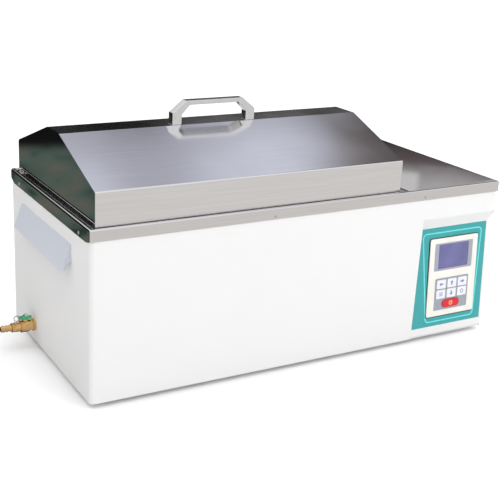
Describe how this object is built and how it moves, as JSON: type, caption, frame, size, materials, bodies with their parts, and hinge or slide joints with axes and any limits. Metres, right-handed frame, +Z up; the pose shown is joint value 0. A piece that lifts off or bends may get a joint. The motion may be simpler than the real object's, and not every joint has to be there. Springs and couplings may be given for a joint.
{
  "type": "water bath",
  "caption": "Bench water bath: coated sheet casing, stainless deck and tank under a lift-off gabled lid, sloping control panel, side drain valve and side grips.",
  "frame": {"origin": "middle of the bounding box in plan, at the level of the bench that the feet stand on", "axes": "+X along the length towards the control end, +Y from the front to the back, +Z up"},
  "size_m": [0.8794, 0.3919, 0.4441],
  "materials": {
    "powder_coat": "satin white powder coat",
    "deck_steel": "fine-brushed, near-mirror stainless",
    "lid_steel": "brushed stainless",
    "lid_end_steel": "near-mirror stainless",
    "tank_steel": "satin stainless",
    "handle_chrome": "plated, softly polished",
    "screw_steel": "plated",
    "black_rubber": "matt",
    "glass_wool": "fibrous",
    "zinc_sheet": "zinc-plated sheet",
    "teal_film": "printed film, semi-gloss",
    "heater_sheath": "dull, heat-tinted",
    "brass": "machined",
    "copper": "drawn copper",
    "seat_plastic": "waxy",
    "green_plastic": "moulded",
    "dark_wire": "oxidised steel wire",
    "cream_plastic": "fine moulded texture",
    "dark_plastic": "moulded",
    "grey_plastic": "moulded",
    "display_glass": "glossy unlit display",
    "keypad_film": "printed film",
    "circuit_board": "solder resist",
    "key_white": "satin",
    "key_red": "gloss",
    "heat_sink": "extruded",
    "transformer_iron": "varnished laminations",
    "terminal_plastic": "moulded",
    "lead_red": "silicone sleeve",
    "lead_grey": "vinyl sleeve",
    "pin_metal": "plated"
  },
  "bodies": {
    "housing": {"base_pan": "powder_coat", "feet": "black_rubber", "foot_screws": "screw_steel", "outer_casing": "powder_coat", "rear_panel": "powder_coat", "rear_panel_screws": "screw_steel", "deck_plate": "deck_steel", "deck_screws": "screw_steel", "inner_tank": "tank_steel", "tank_insulation": "glass_wool", "compartment_wall": "zinc_sheet", "control_fascia": "powder_coat", "fascia_label": "teal_film", "grip_left": "powder_coat", "grip_right": "powder_coat", "heater_element": "heater_sheath", "heater_glands": "brass", "temperature_probe": "tank_steel", "probe_gland": "brass", "drain_spud": "brass", "drain_spud_nut": "brass", "drain_pipe": "copper", "wall_nuts": "brass", "valve_body": "brass", "valve_seats": "seat_plastic", "hose_barb": "brass", "controller_gasket": "black_rubber", "controller_bezel": "cream_plastic", "controller_case": "dark_plastic", "display_frame": "grey_plastic", "display_window": "display_glass", "keypad_plate": "keypad_film", "control_board": "circuit_board", "solid_state_relay": "dark_plastic", "relay_heat_sink": "heat_sink", "transformer": "transformer_iron", "terminal_block": "terminal_plastic", "heater_leads": "lead_red", "probe_lead": "lead_grey", "mains_inlet": "dark_plastic", "inlet_pins": "pin_metal", "fuse_holder": "dark_plastic", "earth_stud": "brass"},
    "lid": {"lid_shell": "lid_steel", "lid_ends": "lid_end_steel", "lid_handle": "handle_chrome", "handle_screws": "screw_steel"},
    "shelf": {"tank_shelf": "tank_steel"},
    "valve_handle": {"valve_ball": "screw_steel", "valve_stem": "screw_steel", "valve_lever": "green_plastic", "lever_ring": "dark_wire", "lever_nut": "screw_steel"},
    "key_1": {"key_1": "key_white"},
    "key_2": {"key_2": "key_white"},
    "key_3": {"key_3": "key_white"},
    "key_4": {"key_4": "key_white"},
    "key_5": {"key_5": "key_white"},
    "key_6": {"key_6": "key_white"},
    "run_key": {"run_key": "key_red"}
  },
  "joints": [
    {"name": "lid_lift", "type": "slide", "parent": "housing", "child": "lid", "axis": [0, 0, 1], "range_m": [0, 0.3]},
    {"name": "shelf_lift", "type": "slide", "parent": "housing", "child": "shelf", "axis": [0, 0, 1], "range_m": [0, 0.15]},
    {"name": "drain_valve_turn", "type": "hinge", "parent": "housing", "child": "valve_handle", "pos_m": [-0.39475, 0.077, 0.038], "axis": [0, 0, 1], "range_deg": [0, 90]},
    {"name": "key_1_press", "type": "slide", "parent": "housing", "child": "key_1", "axis": [0, 0.9976, -0.0689], "range_m": [0, 0.001], "stiffness_N_per_m": 400, "springref_m": -0.0005},
    {"name": "key_2_press", "type": "slide", "parent": "housing", "child": "key_2", "axis": [0, 0.9976, -0.0689], "range_m": [0, 0.001], "stiffness_N_per_m": 400, "springref_m": -0.0005},
    {"name": "key_3_press", "type": "slide", "parent": "housing", "child": "key_3", "axis": [0, 0.9976, -0.0689], "range_m": [0, 0.001], "stiffness_N_per_m": 400, "springref_m": -0.0005},
    {"name": "key_4_press", "type": "slide", "parent": "housing", "child": "key_4", "axis": [0, 0.9976, -0.0689], "range_m": [0, 0.001], "stiffness_N_per_m": 400, "springref_m": -0.0005},
    {"name": "key_5_press", "type": "slide", "parent": "housing", "child": "key_5", "axis": [0, 0.9976, -0.0689], "range_m": [0, 0.001], "stiffness_N_per_m": 400, "springref_m": -0.0005},
    {"name": "key_6_press", "type": "slide", "parent": "housing", "child": "key_6", "axis": [0, 0.9976, -0.0689], "range_m": [0, 0.001], "stiffness_N_per_m": 400, "springref_m": -0.0005},
    {"name": "run_key_press", "type": "slide", "parent": "housing", "child": "run_key", "axis": [0, 0.9976, -0.0689], "range_m": [0, 0.001], "stiffness_N_per_m": 400, "springref_m": -0.0005}
  ]
}
